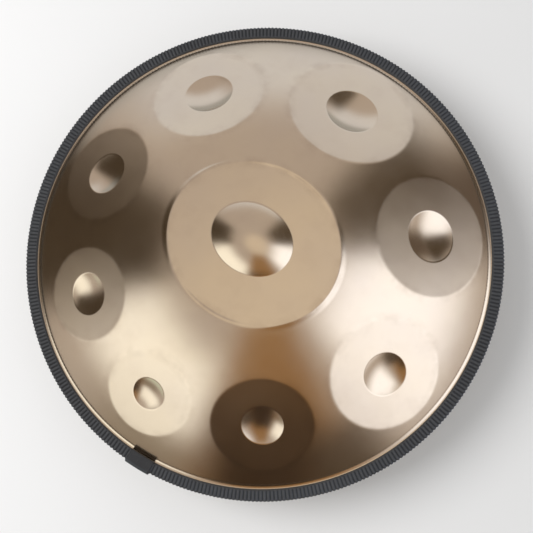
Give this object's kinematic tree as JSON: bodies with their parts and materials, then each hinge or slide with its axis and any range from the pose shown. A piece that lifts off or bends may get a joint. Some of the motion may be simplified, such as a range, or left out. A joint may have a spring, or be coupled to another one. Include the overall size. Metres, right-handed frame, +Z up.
{
  "type": "handpan",
  "caption": "Round steel handpan with a domed centre note, a ring of flattened tone fields with dimples, a port below and a ribbed rubber rim trim.",
  "frame": {"origin": "on the instrument's axis, at the flat base ring that it stands on", "axes": "+Z up through the middle of the ding; -Y towards the player, where the largest tone field is; the ding's long axis lies along X"},
  "size_m": [0.56, 0.5618, 0.1692],
  "materials": {
    "shell_steel": "satin bronze-gold heat tint",
    "bond": "cured adhesive",
    "trim_rubber": "ribbed matt",
    "spring_steel": "plain",
    "sleeve_rubber": "smooth semi-gloss"
  },
  "bodies": {
    "root": {"top_shell": "shell_steel", "bottom_shell": "shell_steel", "rim_adhesive": "bond", "edge_trim": "trim_rubber", "edge_trim_core": "spring_steel", "trim_sleeve": "sleeve_rubber"}
  },
  "joints": []
}
